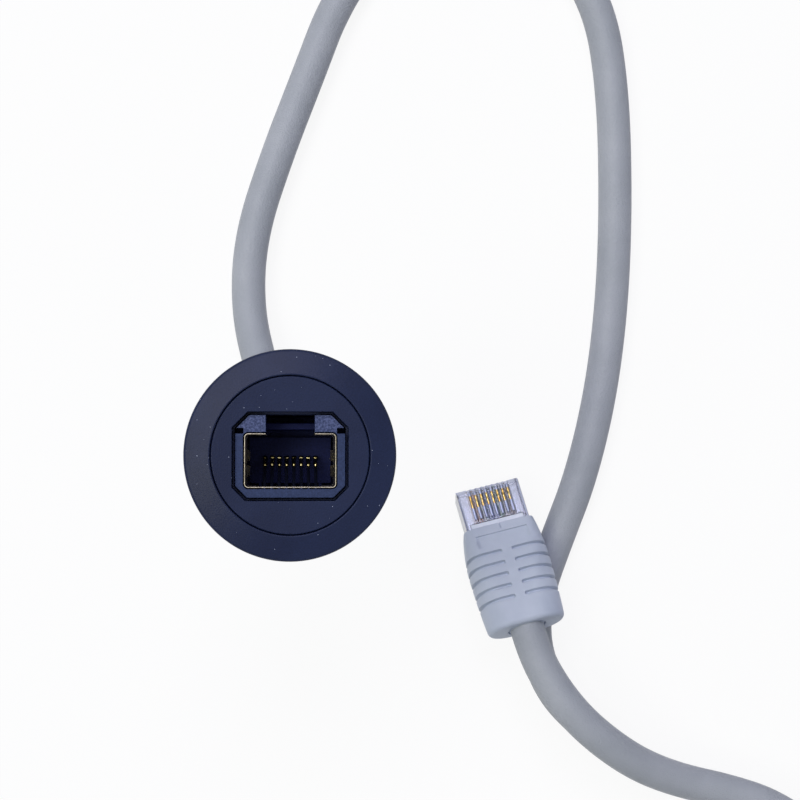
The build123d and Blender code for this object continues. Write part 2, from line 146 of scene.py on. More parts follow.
# runs a Geometry Nodes tree once and keeps the result as a plain mesh
def grow(name, tree, inputs, seedData=None):
    seed = addObject(name + "Seed", seedData or bpy.data.meshes.new(name + "Seed"))
    modifier = seed.modifiers.new(name, "NODES")
    modifier.node_group = tree
    for item in tree.interface.items_tree:
        if item.in_out == "INPUT" and item.name in inputs:
            modifier[item.identifier] = inputs[item.name]
    evaluated = seed.evaluated_get(bpy.context.evaluated_depsgraph_get())
    mesh = bpy.data.meshes.new_from_object(evaluated)
    mesh.name = name
    bpy.data.objects.remove(seed)
    return addObject(name, mesh)


# one speck in most cells of a pattern, its radius a share of the cell
dustSpecks = {"cellMm": 0.95, "radii": (0.025, 0.075), "cleanCells": 0.3, "colour": "#9aa2b6"}


def addDust(tree, place, clean, spec):
    cells = addNode(tree, "ShaderNodeTexVoronoi", {
        "Vector": place, "Scale": 1000 / spec["cellMm"], "Randomness": 1.0})
    pick = addNode(tree, "ShaderNodeSeparateColor", {"Color": cells.outputs["Color"]})
    radius = remap(tree, pick.outputs["Green"], after=spec["radii"])
    spot = calc(tree, "LESS_THAN", cells.outputs["Distance"], radius)
    chosen = calc(tree, "GREATER_THAN", pick.outputs["Red"], spec["cleanCells"])
    return mixColour(tree, calc(tree, "MULTIPLY", spot, chosen), clean, linear(spec["colour"]))


def mouldedAbs(name, dark, light, dusty):
    # ABS from a spark-eroded mould: matt with a broad sheen, a fine grain, and dust that clings to it
    material, tree, surface, place = startMaterial(name, Roughness=0.37, IOR=1.5, Specular_IOR_Level=0.14)
    shade = ramp(tree, noise(tree, place, 9.0, 3.0), 0.35, 0.65, dark, light)
    grain = noise(tree, place, 0.22)  # the real grain is near 0.08 mm, coarser here so that it shows
    colour = mixColour(tree, 0.3, shade, grain, blend_type="OVERLAY")
    if dusty:
        colour = addDust(tree, place, colour, dustSpecks)
    tree.links.new(colour, surface.inputs["Base Color"])
    setBump(tree, surface, grain, 0.02)
    return material


# where the jack's plastic turns paler, out of the painted shade inside the port and into the frosted blocks, in
# m: y towards the latch side, z towards the front
shadeAndFrostFade = {"latchSide": (0.0028, 0.0034), "front": (0.0004, 0.0017)}


def speckledPbt(fade):
    # glass-filled PBT: satin, with painted shade that makes it near black inside the port, frosted where the
    # latch blocks meet the front
    material, tree, surface, place = startMaterial(
        "speckledPbt", Roughness=0.5, IOR=1.55, Specular_IOR_Level=0.08)
    split = addNode(tree, "ShaderNodeSeparateXYZ", {"Vector": place})
    latchSide = remap(tree, split.outputs["Y"], fade["latchSide"])
    front = remap(tree, split.outputs["Z"], fade["front"])
    flecks = noise(tree, place, 0.26, 3.0, 0.7)
    # painted shade: the plastic inside the port is coloured near black, fading out towards the front face
    paintedPortShade = ramp(tree, flecks, 0.35, 0.75, "#0f153c", "#182050")
    plain = ramp(tree, flecks, 0.35, 0.75, "#2c3653", "#3b486c")
    frosted = ramp(tree, flecks, 0.4, 0.68, "#343d5c", "#626c94")
    face = mixColour(tree, front, paintedPortShade, plain)
    colour = mixColour(tree, calc(tree, "MULTIPLY", latchSide, front), face, frosted)
    tree.links.new(colour, surface.inputs["Base Color"])
    setBump(tree, surface, flecks, 0.02)
    return material


def platedShell():
    # nickel over stamped phosphor bronze: bright, warm, with faint rolling lines
    material, tree, surface, place = startMaterial("platedShell", Metallic=1.0)
    lines = noise(tree, place, 0.3, 3.0)
    tree.links.new(ramp(tree, lines, 0.3, 0.7, "#7d776b", "#aea695"), surface.inputs["Base Color"])
    tree.links.new(remap(tree, lines, after=(0.25, 0.42)), surface.inputs["Roughness"])
    setBump(tree, surface, lines, 0.01)
    return material


def goldPlated(name, low, high, plated):
    # gold flash over nickel on spring metal: yellow and smooth where the mating part rubs, else duller nickel;
    # the given colours can hold painted shade, as on the springs in the port
    material, tree, surface, place = startMaterial(name, Metallic=1.0)
    gold = ramp(tree, noise(tree, place, 0.5), 0.35, 0.7, low, high)
    along = addNode(tree, "ShaderNodeVectorMath", {0: place, 1: plated["direction"]}, operation="DOT_PRODUCT")
    off = calc(tree, "ABSOLUTE", calc(tree, "SUBTRACT", along.outputs["Value"], plated["middle"]))
    bare = remap(tree, off, (plated["half"], plated["half"] + plated["fade"]))
    tree.links.new(mixColour(tree, bare, gold, linear(plated["nickelAndShade"])), surface.inputs["Base Color"])
    tree.links.new(remap(tree, bare, after=(0.2, 0.42)), surface.inputs["Roughness"])
    return material


def laminateBoard():
    # glass-epoxy board with green solder resist: satin, weave just visible
    material, tree, surface, place = startMaterial("laminateBoard", Roughness=0.35, IOR=1.5)
    weaveMm = 0.6
    weave = addNode(tree, "ShaderNodeTexWave", {"Vector": place, "Scale": 1000 / weaveMm / 2},
                    bands_direction="DIAGONAL")
    colour = ramp(tree, weave.outputs["Fac"], 0.2, 0.8, "#14482a", "#1b5a35")
    tree.links.new(colour, surface.inputs["Base Color"])
    return material


def rubber(name, dark, light, roughness):
    # moulded rubber: dull, faintly mottled, no sparkle
    material, tree, surface, place = startMaterial(name, Roughness=roughness, IOR=1.5, Specular_IOR_Level=0.25)
    mottle = ramp(tree, noise(tree, place, 1.6, 3.0), 0.3, 0.7, dark, light)
    tree.links.new(mottle, surface.inputs["Base Color"])
    setBump(tree, surface, noise(tree, place, 0.25), 0.015)
    return material


def extrudedPvc():
    # extruded PVC sheath: satin, smooth, with slow swells where the pairs twist beneath it
    material, tree, surface, place = startMaterial(
        "extrudedPvc", Roughness=0.46, IOR=1.53, Specular_IOR_Level=0.35)
    handled = ramp(tree, noise(tree, place, 14.0, 4.0, 0.55), 0.3, 0.72, "#9da2a9", "#acb0b7")
    tree.links.new(handled, surface.inputs["Base Color"])
    tree.links.new(remap(tree, noise(tree, place, 3.0), after=(0.4, 0.54)), surface.inputs["Roughness"])
    swell = noise(tree, place, 6.0, 1.0)
    fine = noise(tree, place, 0.3)
    setBump(tree, surface, calc(tree, "MULTIPLY_ADD", fine, fine, swell), 0.25, 0.5)
    return material


def mouldedPvc():
    # soft PVC moulded over the plug: eggshell surface, a shade lighter than the sheath
    material, tree, surface, place = startMaterial(
        "mouldedPvc", Roughness=0.5, IOR=1.53, Specular_IOR_Level=0.35)
    handled = ramp(tree, noise(tree, place, 7.0, 4.0, 0.55), 0.3, 0.72, "#b5becf", "#c4ccdb")
    tree.links.new(handled, surface.inputs["Base Color"])
    setBump(tree, surface, noise(tree, place, 0.28), 0.02)
    return material


def clearPolycarbonate():
    # clear moulded polycarbonate: a little hazy from the mould, blue-grey where it is seen on edge
    material, tree, surface, place = startMaterial(
        "clearPolycarbonate", Roughness=0.14, IOR=1.585, Transmission_Weight=1.0, Base_Color=linear("#e9edf8"))
    setBump(tree, surface, noise(tree, place, 1.2), 0.02, 0.6)
    haze = addNode(tree, "ShaderNodeVolumeAbsorption", {"Color": linear("#8a93bb"), "Density": 150.0})
    tree.links.new(haze.outputs[0], tree.nodes["Material Output"].inputs["Volume"])
    return material


def milkyBar():
    # natural polycarbonate bar: milky white, satin
    material, tree, surface, place = startMaterial("milkyBar", Roughness=0.4, IOR=1.58)
    milk = ramp(tree, noise(tree, place, 1.0), 0.3, 0.7, "#d3dae8", "#e6ebf5")
    tree.links.new(milk, surface.inputs["Base Color"])
    return material


def coreInsulation(name, light, dark):
    # polyethylene skin on a core: waxy, nearly smooth
    material, tree, surface, place = startMaterial(name, Roughness=0.35, IOR=1.51)
    skin = ramp(tree, noise(tree, place, 0.8), 0.3, 0.7, dark, light)
    tree.links.new(skin, surface.inputs["Base Color"])
    return material


# the plug's own frame: x across the contacts, y to the contact side, z from nose to boot
plugPlace = {"nose": (0.0361, -0.0064, -0.07425), "turn": -76.0, "tilt": 22.0}


def plugMatrix(spec):
    turn, tilt = radians(spec["turn"]), radians(spec["tilt"])
    along = Vector((cos(tilt) * cos(turn), cos(tilt) * sin(turn), sin(tilt)))
    across = Vector((-sin(turn), cos(turn), 0))
    return Matrix.Translation(spec["nose"]) @ Matrix((across, along.cross(across), along)).transposed().to_4x4()


# the gold reaches half to either side of the middle, in m along the direction, and fades into the nickel colour,
# which on the springs is painted shade
plugAlong = plugMatrix(plugPlace).to_3x3() @ Vector((0, 0, 1))
rubbedFromNose = 0.0026
bladePlating = {
    "direction": plugAlong, "middle": plugAlong.dot(Vector(plugPlace["nose"])) + rubbedFromNose,
    "half": 0.001, "fade": 0.0003, "nickelAndShade": "#b4bbd6",
}
# painted shade on the springs: their nickel is coloured near navy, for the dark port they sit in and reflect
springPlating = {"direction": (0, 0, 1), "middle": -0.0128, "half": 0.0048, "fade": 0.0003, "nickelAndShade": "#3f4664"}

bezelAbs = mouldedAbs("sparkErodedAbs", "#171f3a", "#1d2643", dusty=True)
plainAbs = mouldedAbs("sparkErodedAbsRear", "#1d2331", "#262d3e", dusty=False)
goldBlades = goldPlated("goldPlatedBlades", "#c29a50", "#e8cf8f", bladePlating)
# painted shade: the springs' gold is darker than the blades', for the port's shade on them
goldSpringsInShade = goldPlated("goldPlatedSpringsInShade", "#857a50", "#c4b883", springPlating)
sheath = extrudedPvc()
bootPvc = mouldedPvc()

paint(bezelAbs, "bezel_body", "face_insert")
paint(plainAbs, "lock_nut", "rear_cover")
paint(speckledPbt(shadeAndFrostFade), "jack_housing", "contact_carrier")
paint(platedShell(), "jack_shell")
paint(laminateBoard(), "terminal_board")
paint(rubber("nitrileRubber", "#15171c", "#1e2127", 0.75), "panel_gasket")
paint(rubber("reliefTpe", "#1b1e26", "#262a34", 0.6), "strain_relief")
paint(clearPolycarbonate(), "plug_body")
paint(milkyBar(), "plug_bar")
paint(bootPvc, "plug_boot")

# light and dark shade of each core, from way 1 to way 8
coreColours = [
    ("#e9d9cf", "#d8b99f"), ("#d98a4c", "#b96a31"), ("#d5e3d8", "#b5cdbb"), ("#6f8fd0", "#4f6fb3"),
    ("#d3dcf2", "#b3c2e6"), ("#74ab84", "#558a66"), ("#ded3cc", "#c0ab9f"), ("#8d6f60", "#6f5346"),
]
for way, (light, dark) in enumerate(coreColours, 1):
    paint(goldSpringsInShade, f"jack_contact_{way}")
    paint(goldBlades, f"plug_contact_{way}")
    paint(coreInsulation(f"coreInsulation{way}", light, dark), f"plug_core_{way}")
print("materials on the solids")


# how far each piece has its edges rounded, in mm; a kept width isn't cut down where short edges meet
easedEdges = {
    "bezel_body": {"width": 0.22, "slot": "black_plastic", "keepWidth": True},
    "face_insert": {"width": 0.07, "slot": "black_plastic", "keepWidth": True},
    "jack_housing": {"width": 0.1, "slot": "jack_plastic"},
    "jack_shell": {"width": 0.05, "slot": "plated_shell"},
    "lock_nut": {"width": 0.16, "slot": "black_plastic"},
    "rear_cover": {"width": 0.15, "slot": "black_plastic"},
    "plug_body": {"width": 0.07, "slot": "clear_plastic"},
    "plug_bar": {"width": 0.1, "slot": "white_plastic"},
}
weldWithin = 2e-6  # m
flatWithin = radians(0.6)  # faces this close to one plane become one
sharpFrom = radians(32)

# the shell's sheet, in mm: what stands further out from the port's lining comes in to its thickness
shellSheet = {"thickness": 0.14, "half": (6.05, 3.525), "middle": (0.0, -0.725), "corner": 0.4, "past": 0.06}


def thinShell(form, spec):
    for vert in form.verts:
        side = [vert.co[n] * 1000 - spec["middle"][n] for n in (0, 1)]
        over = [abs(side[n]) - spec["half"][n] + spec["corner"] for n in (0, 1)]
        reach = hypot(max(over[0], 0), max(over[1], 0))
        if reach < spec["corner"] + spec["past"]:
            continue
        scale = (spec["corner"] + spec["thickness"]) / reach
        for n in (0, 1):
            if over[n] > 0:
                moved = spec["half"][n] - spec["corner"] + over[n] * scale
                vert.co[n] = (spec["middle"][n] + moved * (1 if side[n] > 0 else -1)) / 1000


# a merged copy of the solid, so that its sharp edges can take a bevel
def easeEdges(name, spec):
    form = bmesh.new()
    form.from_mesh(nodes[name].data)
    bmesh.ops.remove_doubles(form, verts=form.verts, dist=weldWithin)
    if name == "jack_shell":
        thinShell(form, shellSheet)
    bmesh.ops.dissolve_limit(form, angle_limit=flatWithin, verts=form.verts, edges=form.edges)
    piece = pieceFrom(form, name + "Eased", nodes[name].data.materials)
    bevel = piece.modifiers.new("easedEdges", "BEVEL")
    bevel.width = spec["width"] / 1000
    bevel.segments = 3
    bevel.limit_method = "ANGLE"
    bevel.use_clamp_overlap = "keepWidth" not in spec
    bevel.angle_limit = sharpFrom
    bevel.miter_outer = "MITER_ARC"
    weighted = piece.modifiers.new("flatFaces", "WEIGHTED_NORMAL")
    weighted.keep_sharp = True
    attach(piece, "root")
    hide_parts(name)
    return piece


eased = {name: easeEdges(name, spec) for name, spec in easedEdges.items()}
print("edges eased on", len(eased), "pieces")


# moulded boot, in mm along and across the plug; front, wide and back are its width and height
bootForm = {
    "start": 8.0, "belly": 16.5, "end": 27.0, "front": (13.0, 8.2), "wide": (15.0, 9.4), "back": (14.0, 9.0),
    "corners": [(0.0, 0.22), (0.25, 0.34), (0.5, 0.44), (0.78, 0.49), (1.0, 0.49)],  # share of length, of height
    "frontEdge": 0.12,
    "grooveStart": 13.4, "groovePitch": 2.15, "grooves": 5, "grooveWidth": 0.74, "grooveDepth": 0.7,
    "grooveFloor": 0.35, "spine": 1.7,
    "label": (9.7, 12.1, 4.7, 0.32),  # from, to, half width, depth
    "slit": (1.1, 0.15, 0.5),  # length, half width, depth
    "latchNotch": (1.6, 3.5, 3.34),  # length, half width, level below the middle
    "mouth": (11.74, 6.64, 0.5), "mouthDepth": 8.0,  # width, height, corner
    "endRound": 0.9,
    "leadHole": (3.5, 3.14, 0.3),  # outer and inner radius, recess
}

# where the boot's rings lie: in shares of a groove's half width, in shares of the pitch, and in mm
ringPlaces = {
    "acrossGroove": (-1.2, -1, -0.85, -0.7, -0.5, -0.3, 0, 0.3, 0.5, 0.7, 0.85, 1, 1.2),
    "onRib": (0.35, 0.5, 0.65), "beforeGrooves": (12.45, 12.75), "afterGrooves": (24.0, 25.0), "endSteps": 7,
}

# points of a ring's quarter: fixed ones from the middle of its flat, then steps on the flat, corner and side
ringPoints = {
    "fixed": (0.0, 0.15, 0.17, 0.45, 0.72, 0.8, 0.88, 0.96, 1.04, 1.14, 1.28), "flat": 6, "corner": 12, "side": 3,
}


# straight line from pair to pair of (share, value)
def between(pairs, at):
    for (a, low), (b, high) in zip(pairs, pairs[1:]):
        if at <= b:
            t = min(max((at - a) / (b - a), 0.0), 1.0)
            return low + (high - low) * t
    return pairs[-1][1]


def bootSection(spec, z):
    (w0, h0), (w1, h1), (w2, h2) = spec["front"], spec["wide"], spec["back"]
    if z < spec["belly"]:
        t = (z - spec["start"]) / (spec["belly"] - spec["start"])
        t = t * (2 - t)
        w, h = w0 + (w1 - w0) * t, h0 + (h1 - h0) * t
    else:
        t = ((z - spec["belly"]) / (spec["end"] - spec["belly"])) ** 2
        w, h = w1 + (w2 - w1) * t, h1 + (h2 - h1) * t
    share = between(spec["corners"], (z - spec["start"]) / (spec["end"] - spec["start"]))
    return w, h, h * share


# a rounded rectangle as points with their outward directions, the same count for every size
def roundedLoop(w, h, r):
    fixed, flat, corner, side = ringPoints.values()
    reach = w / 2 - r
    quarter = [(x, h / 2, 0.0, 1.0) for x in fixed]
    quarter += [(fixed[-1] + (reach - fixed[-1]) * n / flat, h / 2, 0.0, 1.0) for n in range(1, flat)]
    for n in range(corner + 1):
        a = pi / 2 * n / corner
        quarter.append((reach + r * sin(a), h / 2 - r + r * cos(a), sin(a), cos(a)))
    quarter += [(w / 2, (h / 2 - r) * (1 - n / side), 1.0, 0.0) for n in range(1, side + 1)]
    right = quarter + [(x, -y, nx, -ny) for x, y, nx, ny in reversed(quarter[:-1])]
    return right + [(-x, y, -nx, ny) for x, y, nx, ny in reversed(right[1:-1])]


def grooveDepthAt(spec, x, z):
    half, floor = spec["grooveWidth"] / 2, spec["grooveFloor"]
    sideways = max(0.0, spec["spine"] / 2 + half - abs(x))
    near = min(hypot(sideways, z - spec["grooveStart"] - n * spec["groovePitch"]) for n in range(spec["grooves"]))
    t = min(max((near / half - floor) / (1 - floor), 0.0), 1.0)
    return spec["grooveDepth"] * (1 - t * t * (3 - 2 * t))


# the loop's points beside the panel's long edges move onto them, so that its walls stand upright
def panelEdges(loop, h, r, w, halfWide, beside=0.03):
    def onLoop(x, nx, ny):
        over = max(abs(x) - w / 2 + r, 0.0)
        return x, h / 2 - r + (r * r - over * over) ** 0.5, nx, ny

    moved = {}
    for side in (-1, 1):
        outward = [(side * point[0], n) for n, point in enumerate(loop) if point[1] > 0]
        inside = max(pair for pair in outward if pair[0] <= halfWide)[1]
        outside = min(pair for pair in outward if pair[0] > halfWide)[1]
        moved[inside], moved[outside] = side * (halfWide - beside), side * (halfWide + beside)
    return [onLoop(moved[n], *point[2:]) if n in moved else point for n, point in enumerate(loop)]


# two rings a hair apart keep an edge crisp
def bootPlaces(spec):
    start, last = spec["start"], spec["end"] - spec["endRound"]
    low, high = spec["label"][:2]
    slitEnd, notchEnd = start + spec["slit"][0], start + spec["latchNotch"][0]
    places = [start, start + 0.06, slitEnd - 0.02, slitEnd + 0.02, notchEnd, notchEnd + 0.04]
    places += [low, low + 0.05, (low + high) / 2, high - 0.05, high, *ringPlaces["beforeGrooves"]]
    for n in range(spec["grooves"]):
        middle = spec["grooveStart"] + n * spec["groovePitch"]
        places += [middle + spec["grooveWidth"] / 2 * share for share in ringPlaces["acrossGroove"]]
        places += [middle + spec["groovePitch"] * share for share in ringPlaces["onRib"]]
    return places + [*ringPlaces["afterGrooves"], last]


def bootRings(spec):
    low, high, halfWide, labelDepth = spec["label"]
    slitLength, slitHalf, slitDepth = spec["slit"]
    notchLength, notchHalf, notchLevel = spec["latchNotch"]
    start, places = spec["start"], bootPlaces(spec)
    onEdge = 0.01  # mm, so that a ring or a point on an edge belongs to the cut
    rings = []
    for z in places:
        w, h, r = bootSection(spec, z)
        loop = roundedLoop(w, h, r)
        if low < z < high:
            loop = panelEdges(loop, h, r, w, halfWide)
        ring = []
        for x, y, nx, ny in loop:
            depth = grooveDepthAt(spec, x, z) + (spec["frontEdge"] if z == start else 0.0)
            if y > 0 and abs(x) < slitHalf + onEdge / 2 and z < start + slitLength:
                depth += slitDepth
            px, py = x - nx * depth, y - ny * depth
            if low < z < high and y > 0 and abs(x) < halfWide:
                py = min(py, h / 2 - labelDepth)
            if z < start + notchLength + onEdge and abs(x) < notchHalf:
                py = max(py, -notchLevel)
            ring.append((px, py, z))
        rings.append(ring)

    last = places[-1]
    endLoop = roundedLoop(*bootSection(spec, last))
    for n in range(1, ringPlaces["endSteps"] + 1):
        a = pi / 2 * n / ringPlaces["endSteps"]
        inset, z = spec["endRound"] * (1 - cos(a)), last + spec["endRound"] * sin(a)
        rings.append([(x - nx * inset, y - ny * inset, z) for x, y, nx, ny in endLoop])

    outer, inner, recess = spec["leadHole"]
    floor = spec["end"] - recess
    for radius, z in ((outer, spec["end"]), (outer - 0.05, floor), (inner, floor), (inner, spec["end"])):
        rings.append([(x / hypot(x, y) * radius, y / hypot(x, y) * radius, z) for x, y, nx, ny in endLoop])

    mouth = roundedLoop(*spec["mouth"])
    bottom = [[(x, y, start + depth) for x, y, nx, ny in mouth] for depth in (spec["mouthDepth"], 0.0)]
    return bottom + rings


def sculptBoot(spec, material):
    form = bmesh.new()
    rings = [[form.verts.new([c / 1000 for c in point]) for point in ring] for ring in bootRings(spec)]
    for ring, following in zip(rings, rings[1:]):
        for n in range(len(ring)):
            form.faces.new((ring[n], ring[n - 1], following[n - 1], following[n]))
    form.faces.new(rings[0])
    form.faces.new(list(reversed(rings[-1])))
    bmesh.ops.remove_doubles(form, verts=form.verts, dist=1e-6)
    bmesh.ops.recalc_face_normals(form, faces=form.faces)
    form.transform(plugMatrix(plugPlace))
    piece = pieceFrom(form, "bootMoulding", [material])
    piece.data.set_sharp_from_angle(angle=radians(48))
    return piece


# stamped strips side by side: one bent path in the xy plane, swept, stood up and repeated
def stripTree():
    tree, given = startTree("stampedStrips", {
        "Path": "Geometry", "Ways": "Int", "Pitch": "Float", "Width": "Float", "Thickness": "Float",
        "Bend radius": "Float", "Unevenness": "Float", "Finish": "Material"})
    bent = addNode(tree, "GeometryNodeFilletCurve", {
        "Curve": given["Path"], "Radius": given["Bend radius"], "Count": 4, "Limit Radius": True}, mode="POLY")
    flat = addNode(tree, "GeometryNodeSetCurveNormal", {"Curve": bent.outputs[0]}, mode="Z_UP")
    section = addNode(tree, "GeometryNodeCurvePrimitiveQuadrilateral", {
        "Width": given["Thickness"], "Height": given["Width"]})
    swept = addNode(tree, "GeometryNodeCurveToMesh", {
        "Curve": flat.outputs[0], "Profile Curve": section.outputs[0], "Fill Caps": True})
    stood = addNode(tree, "GeometryNodeTransform", {
        "Geometry": swept.outputs[0], "Rotation": (pi / 2, 0, pi / 2)})

    span = calc(tree, "MULTIPLY", calc(tree, "SUBTRACT", given["Ways"], 1.0), given["Pitch"])
    first = addNode(tree, "ShaderNodeCombineXYZ", {"X": calc(tree, "MULTIPLY", span, -0.5)})
    step = addNode(tree, "ShaderNodeCombineXYZ", {"X": given["Pitch"]})
    row = addNode(tree, "GeometryNodeMeshLine", {
        "Count": given["Ways"], "Start Location": first.outputs[0], "Offset": step.outputs[0]})
    many = addNode(tree, "GeometryNodeInstanceOnPoints", {
        "Points": row.outputs[0], "Instance": stood.outputs[0]})

    most = addNode(tree, "ShaderNodeCombineXYZ", {"Y": given["Unevenness"], "Z": given["Unevenness"]})
    least = addNode(tree, "ShaderNodeVectorMath", {0: most.outputs[0], "Scale": -1.0}, operation="SCALE")
    shift = addNode(tree, "FunctionNodeRandomValue", {0: least.outputs[0], 1: most.outputs[0], "Seed": 7},
                    data_type="FLOAT_VECTOR")
    placed = addNode(tree, "GeometryNodeTranslateInstances", {
        "Instances": many.outputs[0], "Translation": shift.outputs[0]})
    return endTree(tree, placed.outputs[0], given["Finish"])


# sizes and path points in mm: x of the path up to the latch or contact side, y to the front or the boot
springSet = {
    "pitch": 1.016, "width": 0.44, "thickness": 0.26, "bend": 0.3, "uneven": 0.03,
    "path": [(-5.05, -17.4), (-5.05, -1.75), (-1.62, -8.16), (-1.2, -8.2), (-0.56, -9.5), (-0.16, -9.53),
             (-0.3, -10.5), (-0.45, -11.4)],
}
bladeSet = {
    "pitch": 1.016, "width": 0.4, "thickness": 0.42, "bend": 0.25, "uneven": 0.0,
    "path": [(2.36, 0.82), (2.69, 0.85), (2.69, 2.2), (2.4, 2.5), (2.36, 5.95)],
}


def stampStrips(name, tree, spec, finish):
    line = bpy.data.curves.new(name + "Path", "CURVE")
    line.dimensions = "3D"
    spline = line.splines.new("POLY")
    spline.points.add(len(spec["path"]) - 1)
    for point, (x, y) in zip(spline.points, spec["path"]):
        point.co = (x / 1000, y / 1000, 0.0, 1.0)
    return grow(name, tree, {
        "Ways": 8, "Pitch": spec["pitch"] / 1000, "Width": spec["width"] / 1000,
        "Thickness": spec["thickness"] / 1000, "Bend radius": spec["bend"] / 1000,
        "Unevenness": spec["uneven"] / 1000, "Finish": finish}, line)


strips = stripTree()
springs = stampStrips("jackSprings", strips, springSet, goldSpringsInShade)
blades = stampStrips("plugBlades", strips, bladeSet, goldBlades)
blades.data.transform(plugMatrix(plugPlace))
for piece, kind in ((springs, "jack"), (blades, "plug")):
    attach(piece, "root")
    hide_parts(*[f"{kind}_contact_{way}" for way in range(1, 9)])
print("contacts stamped:", len(springs.data.polygons) + len(blades.data.polygons), "faces")

bootPiece = sculptBoot(bootForm, bootPvc)
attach(bootPiece, "root")
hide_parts("plug_boot")
print("boot moulded:", len(bootPiece.data.polygons), "faces")


# lead: one NURBS spline on the points that the solid follows, in m
lieZ = -0.0749  # its axis where it lies on the surface
overZ = -0.0686  # where it crosses its own run
humpZ = -0.061036  # where it rises to the plug
climb = overZ - lieZ
rise = humpZ - overZ
leadCable = {
    "diameter": 0.0062,
    "length": 0.7386,
    "points": [
        (0.0, 0.0, -0.044), (0.0, 0.0, -0.0515), (-0.002, 0.0052, -0.0614), (-0.005, 0.0144, -0.0698),
        (-0.008, 0.0268, lieZ), (-0.0074, 0.0405, lieZ), (-0.0024, 0.056, lieZ), (0.0032, 0.0706, lieZ),
        (0.008, 0.0836, lieZ), (0.0154, 0.0946, lieZ), (0.0266, 0.1016, lieZ), (0.0398, 0.1016, lieZ),
        (0.051, 0.095, lieZ), (0.058, 0.084, lieZ), (0.0604, 0.068, lieZ), (0.0608, 0.047, lieZ),
        (0.06, 0.0285, lieZ), (0.0578, 0.0115, lieZ), (0.054, -0.004, lieZ), (0.0494, -0.0156, lieZ),
        (0.0457, -0.0256, lieZ), (0.045, -0.0334, lieZ), (0.0465, -0.0395, lieZ), (0.0492, -0.0446, lieZ),
        (0.0534, -0.0489, lieZ),
        (0.0592, -0.0539, lieZ), (0.0655, -0.0579, lieZ), (0.0728, -0.0605, lieZ), (0.0811, -0.0624, lieZ),
        (0.0895, -0.0651, lieZ), (0.0968, -0.07, lieZ), (0.1022, -0.077, lieZ), (0.1052, -0.0852, lieZ),
        (0.1059, -0.0951, lieZ), (0.1032, -0.1068, lieZ), (0.095, -0.1193, lieZ), (0.0826, -0.1278, lieZ),
        (0.0686, -0.1331, lieZ), (0.0544, -0.138, lieZ), (0.0399, -0.1419, lieZ), (0.0249, -0.1409, lieZ),
        (0.0126, -0.1325, lieZ), (0.0069, -0.1186, lieZ), (0.0103, -0.104, lieZ), (0.0216, -0.094, lieZ),
        (0.0364, -0.0921, lieZ), (0.05, -0.0985, lieZ), (0.0593, -0.1103, lieZ),
        (0.0729, -0.1165, lieZ + 0.08 * climb), (0.0878, -0.1145, lieZ + 0.41 * climb),
        (0.0989, -0.1045, lieZ + 0.83 * climb), (0.1031, -0.0933, overZ), (0.1029, -0.0834, overZ),
        (0.0999, -0.0753, overZ), (0.0946, -0.0685, overZ), (0.0875, -0.0637, overZ),
        (0.0793, -0.061, overZ), (0.071, -0.059, overZ + 0.12 * rise),
        (0.0632, -0.0558, overZ + 0.5 * rise), (0.0566, -0.0515, overZ + 0.82 * rise),
        (0.0508, -0.0465, humpZ), (0.0463, -0.0409, humpZ),
        (0.043278, -0.035189, -0.062263), (0.042156, -0.03069, -0.064136),
    ],
}


def makeLead(spec, material):
    curve = bpy.data.curves.new("leadSheath", "CURVE")
    curve.dimensions = "3D"
    curve.resolution_u = 10
    curve.bevel_depth = spec["diameter"] / 2
    curve.bevel_resolution = 8
    curve.use_fill_caps = True
    spline = curve.splines.new("NURBS")
    spline.points.add(len(spec["points"]) - 1)
    for point, place in zip(spline.points, spec["points"]):
        point.co = (*place, 1.0)
    spline.order_u = 3
    spline.use_endpoint_u = True
    curve.materials.append(material)
    return addObject("leadSheath", curve)


lead = makeLead(leadCable, sheath)
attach(lead, "root")
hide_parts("lead")
plugPieces = [eased["plug_body"], eased["plug_bar"], bootPiece, blades]
plugPieces += [nodes[f"plug_core_{way}"] for way in range(1, 9)]
print("lead laid")


# in m; the thread winds up the barrel to just under the flange
barrelThread = {"coreRadius": 0.0104, "crest": 0.0005, "pitch": 0.0015, "top": -0.0028, "bottom": -0.0193}


def threadTree():
    tree, given = startTree("barrelThreadTree", {
        "Core radius": "Float", "Crest": "Float", "Pitch": "Float", "Bottom": "Float", "Rise": "Float",
        "Finish": "Material"})
    spiral = addNode(tree, "GeometryNodeCurveSpiral", {
        "Resolution": 72, "Rotations": calc(tree, "DIVIDE", given["Rise"], given["Pitch"]),
        "Start Radius": given["Core radius"], "End Radius": given["Core radius"], "Height": given["Rise"]})
    along = addNode(tree, "GeometryNodeSplineParameter").outputs["Factor"]
    fromMiddle = calc(tree, "ABSOLUTE", calc(tree, "SUBTRACT", along, 0.5))
    taper = remap(tree, fromMiddle, (0.5, 0.46), (0.1, 1.0))  # the ridge runs out at both ends
    sized = addNode(tree, "GeometryNodeSetCurveRadius", {"Curve": spiral.outputs[0], "Radius": taper})
    upright = addNode(tree, "GeometryNodeSetCurveNormal", {"Curve": sized.outputs[0]}, mode="Z_UP")
    ridge = addNode(tree, "GeometryNodeCurvePrimitiveCircle", {"Resolution": 4, "Radius": given["Crest"]})
    swept = addNode(tree, "GeometryNodeCurveToMesh", {
        "Curve": upright.outputs[0], "Profile Curve": ridge.outputs[0], "Fill Caps": True})
    drop = addNode(tree, "ShaderNodeCombineXYZ", {"Z": given["Bottom"]})
    placed = addNode(tree, "GeometryNodeTransform", {
        "Geometry": swept.outputs[0], "Translation": drop.outputs[0]})
    return endTree(tree, placed.outputs[0], given["Finish"])


thread = grow("barrelThread", threadTree(), {
    "Core radius": barrelThread["coreRadius"], "Crest": barrelThread["crest"], "Pitch": barrelThread["pitch"],
    "Bottom": barrelThread["bottom"], "Rise": barrelThread["top"] - barrelThread["bottom"], "Finish": bezelAbs})
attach(thread, "root")
print("thread cut:", len(thread.data.polygons), "faces")


